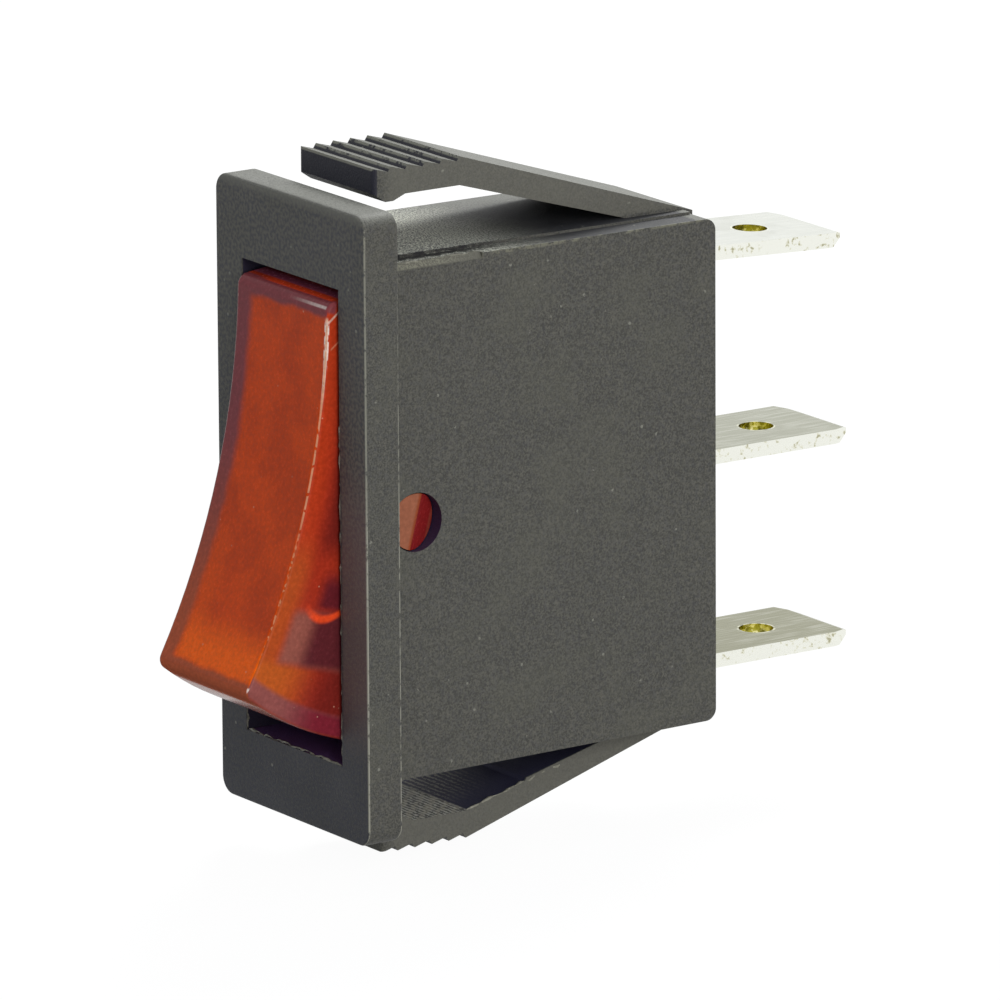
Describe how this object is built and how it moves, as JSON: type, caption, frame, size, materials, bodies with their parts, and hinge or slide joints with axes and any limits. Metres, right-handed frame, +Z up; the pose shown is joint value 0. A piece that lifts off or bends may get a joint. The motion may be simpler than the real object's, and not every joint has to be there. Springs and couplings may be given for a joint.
{
  "type": "panel rocker switch",
  "caption": "Narrow snap-in panel rocker switch with a translucent red lighted rocker, toothed snap arms and flat quick-connect tabs.",
  "frame": {"origin": "centre of the box, at the pivot line's height, in the plane of the bezel's back face, which lies on the panel's front", "axes": "+Y rearwards through the panel, along the box and the tabs; +Z up, along the bezel's long side; +X across the bezel, along the rocker's pivot"},
  "size_m": [0.0142, 0.0397, 0.0372],
  "materials": {
    "housing_nylon": "fine-grained moulded black",
    "rocker_red": "smooth translucent orange-red",
    "carrier_white": "plain white moulding",
    "bulb_glass": "clear",
    "electrode_nickel": "dull nickel",
    "resistor_coat": "plain beige coating",
    "lead_wire": "tinned",
    "solder": "dull solder",
    "plunger_nylon": "natural nylon",
    "spring_steel": "drawn wire",
    "blade_brass": "stamped",
    "contact_silver": "silver contact",
    "terminal_tin": "bright tin plate over brass"
  },
  "bodies": {
    "housing": {"housing": "housing_nylon", "fixed_contact": "contact_silver", "common_terminal": "terminal_tin", "switched_terminal": "terminal_tin", "lamp_terminal": "terminal_tin", "lamp_spring_upper": "spring_steel", "lamp_spring_lower": "spring_steel"},
    "rocker": {"rocker": "rocker_red", "lamp_carrier": "carrier_white", "neon_bulb": "bulb_glass", "electrode_left": "electrode_nickel", "electrode_right": "electrode_nickel", "resistor": "resistor_coat", "resistor_lead_inner": "lead_wire", "resistor_lead_outer": "lead_wire", "solder_joint": "solder", "plunger_spring": "spring_steel"},
    "plunger": {"plunger": "plunger_nylon"},
    "blade": {"contact_blade": "blade_brass", "moving_contact": "contact_silver"}
  },
  "joints": [
    {"name": "rocker_tilt", "type": "hinge", "parent": "housing", "child": "rocker", "pos_m": [0, 0.00192, 0], "axis": [1, 0, 0], "range_deg": [0, 29.6], "deforming": ["lamp_spring_upper", "lamp_spring_lower"]},
    {"name": "plunger_slide", "type": "slide", "parent": "rocker", "child": "plunger", "axis": [0, -0.9668, 0.2554], "range_m": [0, 0.0008], "stiffness_N_per_m": 1000, "deforming": ["plunger_spring"]},
    {"name": "blade_rock", "type": "hinge", "parent": "housing", "child": "blade", "pos_m": [0, 0.01133, 0], "axis": [1, 0, 0], "range_deg": [-14, 0]}
  ],
  "couplings": [
    {"joint": "blade_rock", "follows": "rocker_tilt", "ratio": -0.4729}
  ]
}
